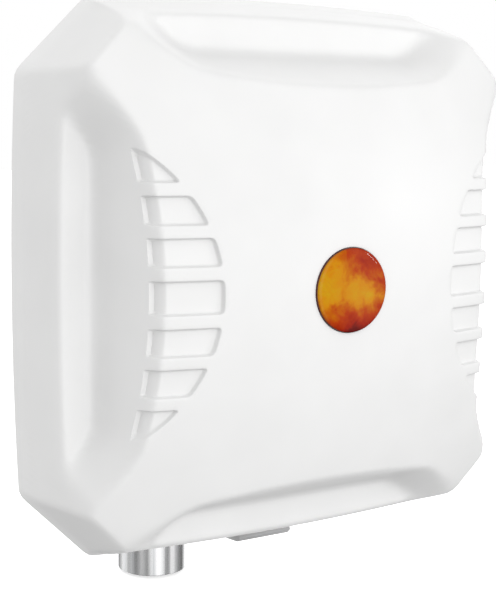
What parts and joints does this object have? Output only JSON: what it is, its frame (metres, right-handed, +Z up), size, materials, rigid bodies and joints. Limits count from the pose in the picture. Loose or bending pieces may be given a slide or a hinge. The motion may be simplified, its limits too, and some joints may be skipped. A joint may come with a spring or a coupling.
{
  "type": "panel antenna",
  "caption": "Flat outdoor panel antenna: domed X-shaped white radome with crossed feed boards inside, a tilting bracket and a V-jaw clamp on a round steel mast.",
  "frame": {"origin": "on the mast's axis at the mast's lower end, where the mast carries on down and holds the part up", "axes": "+Z up along the mast; the panel's front faces -Y; +X to the right seen from the front"},
  "size_m": [0.2664, 0.251, 0.3202],
  "materials": {
    "radome_white": "fine satin moulded ASA",
    "seal_rubber": "soft matte",
    "badge_ink": "printed sunset gradient, amber to deep red",
    "badge_resin": "clear domed resin",
    "aluminium_sheet": "rolled sheet",
    "board_green": "circuit board",
    "nylon": "moulded nylon",
    "lead_jacket": "satin jacket",
    "cowl_grey": "grained moulding",
    "nickel_brass": "nickel over brass",
    "stainless_steel": "turned and rolled",
    "zinc_steel": "zinc-plated sheet",
    "mast_steel": "drawn galvanised tube with lengthwise streaks",
    "black_plastic": "moulded"
  },
  "bodies": {
    "mast": {"mast_tube": "mast_steel", "mast_cap": "black_plastic"},
    "clamp": {"clamp_bolt_left": "stainless_steel", "clamp_bolt_right": "stainless_steel", "clamp_bracket": "zinc_steel", "lock_bolt": "stainless_steel", "lock_washer_left": "zinc_steel", "lock_washer_right": "zinc_steel", "pivot_bolt": "stainless_steel", "pivot_nut": "stainless_steel", "pivot_washer_left": "zinc_steel", "pivot_washer_right": "zinc_steel"},
    "jaw": {"clamp_jaw": "zinc_steel", "jaw_nut_left": "stainless_steel", "jaw_nut_right": "stainless_steel", "jaw_washer_left": "zinc_steel", "jaw_washer_right": "zinc_steel"},
    "knob": {"lock_knob": "black_plastic"},
    "panel": {"badge_disc": "badge_ink", "badge_dome": "badge_resin", "bracket_screw_1": "stainless_steel", "bracket_screw_2": "stainless_steel", "bracket_screw_3": "stainless_steel", "bracket_screw_4": "stainless_steel", "breather_plug": "cowl_grey", "coax_lead_left": "lead_jacket", "coax_lead_right": "lead_jacket", "coax_socket_left": "nickel_brass", "coax_socket_right": "nickel_brass", "cover_screw_1": "stainless_steel", "cover_screw_2": "stainless_steel", "cover_screw_3": "stainless_steel", "cover_screw_4": "stainless_steel", "cover_screw_5": "stainless_steel", "cover_screw_6": "stainless_steel", "cover_screw_7": "stainless_steel", "cover_screw_8": "stainless_steel", "director_plate": "aluminium_sheet", "feed_board_minus": "board_green", "feed_board_plus": "board_green", "front_radome": "radome_white", "panel_bracket": "zinc_steel", "radome_seal": "seal_rubber", "rear_cover": "radome_white", "reflector_plate": "aluminium_sheet", "reflector_standoff_1": "nylon", "reflector_standoff_2": "nylon", "reflector_standoff_3": "nylon", "reflector_standoff_4": "nylon", "socket_cowl": "cowl_grey", "socket_nut_left": "nickel_brass", "socket_nut_right": "nickel_brass"}
  },
  "joints": [
    {"name": "azimuth_swivel", "type": "hinge", "parent": "mast", "child": "clamp", "pos_m": [0, 0, 0.186], "axis": [0, 0, 1], "continuous": true},
    {"name": "panel_tilt", "type": "hinge", "parent": "clamp", "child": "panel", "pos_m": [0, -0.066, 0.164], "axis": [1, 0, 0], "range_deg": [-15, 25]},
    {"name": "jaw_slide", "type": "slide", "parent": "clamp", "child": "jaw", "axis": [0, 1, 0], "range_m": [0, 0.012]},
    {"name": "lock_knob_turn", "type": "hinge", "parent": "clamp", "child": "knob", "pos_m": [0, -0.066, 0.208], "axis": [1, 0, 0], "range_deg": [0, 360]}
  ]
}
